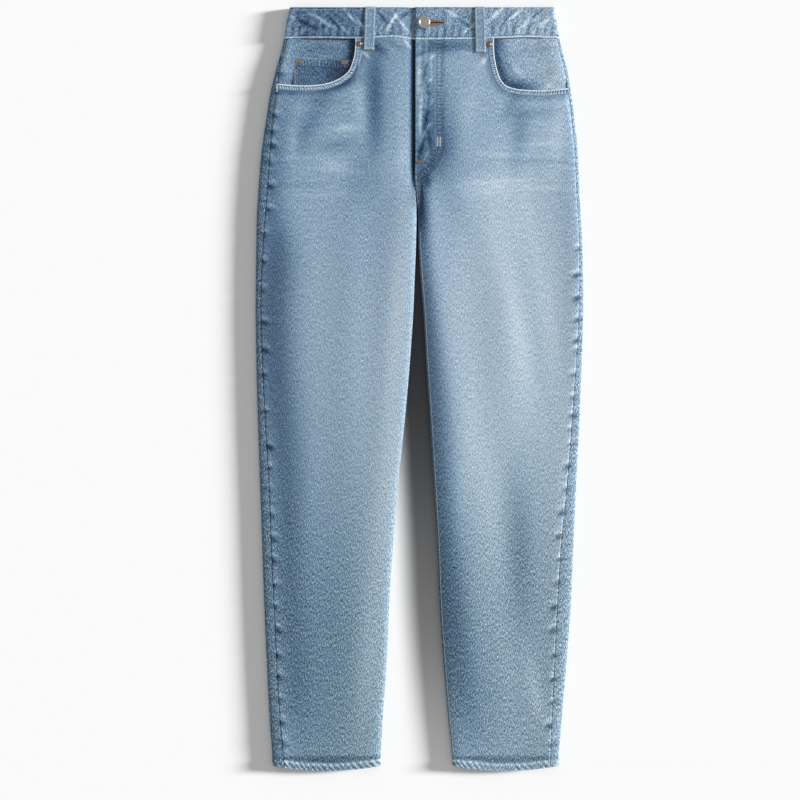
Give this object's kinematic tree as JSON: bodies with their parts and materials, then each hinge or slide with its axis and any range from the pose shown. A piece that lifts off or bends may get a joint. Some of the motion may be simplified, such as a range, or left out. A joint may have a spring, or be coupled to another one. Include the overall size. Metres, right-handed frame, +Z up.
{
  "type": "mom jeans",
  "caption": "High-waisted, tapered, washed blue denim jeans laid flat, front up, with belt loops, scoop pockets, a coin pocket and a buttoned zip fly.",
  "frame": {"origin": "centre of the footprint, on the surface that the jeans lie on", "axes": "+X to the wearer's left, +Y to the waist, +Z up from the surface"},
  "size_m": [0.4262, 0.9927, 0.0122],
  "materials": {
    "washed_denim": "light stone-washed blue denim twill, matt, paler on the thighs",
    "dark_denim": "less washed blue denim twill, matt",
    "band_denim": "blue denim twill with pale marbled creases, matt",
    "zip_tape": "dark blue woven tape, matt",
    "button_metal": "plain satin metal with a warm tint",
    "rivet_metal": "aged plain brass",
    "thread": "pale washed sewing thread"
  },
  "bodies": {
    "root": {"front_right": "washed_denim", "front_left": "washed_denim", "back_right": "washed_denim", "back_left": "washed_denim", "yoke_right": "washed_denim", "yoke_left": "washed_denim", "back_pocket_right": "washed_denim", "back_pocket_left": "washed_denim", "facing_right": "dark_denim", "facing_left": "dark_denim", "coin_pocket": "dark_denim", "waistband": "band_denim", "loop_front_right": "washed_denim", "loop_front_left": "washed_denim", "loop_back_right": "washed_denim", "loop_centre_back": "washed_denim", "loop_back_left": "washed_denim", "zip_fly": "zip_tape", "button": "button_metal", "rivet_right": "rivet_metal", "rivet_left": "rivet_metal"}
  },
  "joints": []
}
